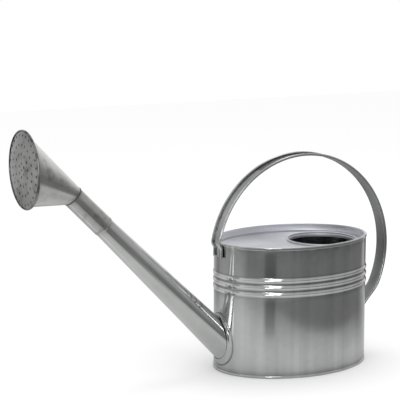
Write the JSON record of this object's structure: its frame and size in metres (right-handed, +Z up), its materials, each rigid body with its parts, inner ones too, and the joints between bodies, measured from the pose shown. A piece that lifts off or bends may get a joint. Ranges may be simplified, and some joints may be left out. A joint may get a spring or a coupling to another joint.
{
  "type": "watering can",
  "caption": "Oval galvanised watering can with a sunk filling deck, a fixed hoop handle, a long angled spout and a slip-on perforated rose.",
  "frame": {"origin": "bottom centre of the whole can's bounding box, on the plane the can stands on", "axes": "+X from the rose at the front to the back of the handle, +Y across the can, +Z up"},
  "size_m": [0.6899, 0.2102, 0.4376],
  "materials": {
    "zinc_body": "galvanised, satin, smooth rolled",
    "zinc_handle": "galvanised, satin, slightly worn on the rolled edges",
    "zinc_spout": "galvanised, satin, drawn lengthways",
    "zinc_rose": "galvanised, satin, faint scratches",
    "rivet_steel": "zinc plated, satin",
    "solder": "dull tin solder"
  },
  "bodies": {
    "can": {"tank_wall": "zinc_body", "base_rim": "zinc_body", "bottom_plate": "zinc_body", "top_rim": "zinc_body", "top_plate": "zinc_body", "fill_lip": "zinc_body", "handle_strap": "zinc_handle", "handle_rivet_front_1": "rivet_steel", "handle_rivet_front_2": "rivet_steel", "handle_rivet_rear_1": "rivet_steel", "handle_rivet_rear_2": "rivet_steel", "spout_tube": "zinc_spout", "spout_collar": "zinc_spout", "spout_solder": "solder"},
    "rose_carrier": {"rose_hem": "zinc_rose"},
    "rose": {"rose_sleeve": "zinc_rose", "rose_neck_solder": "solder", "rose_cone": "zinc_rose", "rose_face": "zinc_rose", "rose_rim": "zinc_rose"}
  },
  "joints": [
    {"name": "rose_pull", "type": "slide", "parent": "can", "child": "rose_carrier", "axis": [-0.7071, 0, 0.7071], "range_m": [0, 0.08]},
    {"name": "rose_turn", "type": "hinge", "parent": "rose_carrier", "child": "rose", "pos_m": [-0.25869, 0, 0.32574], "axis": [-0.7071, 0, 0.7071], "continuous": true}
  ]
}
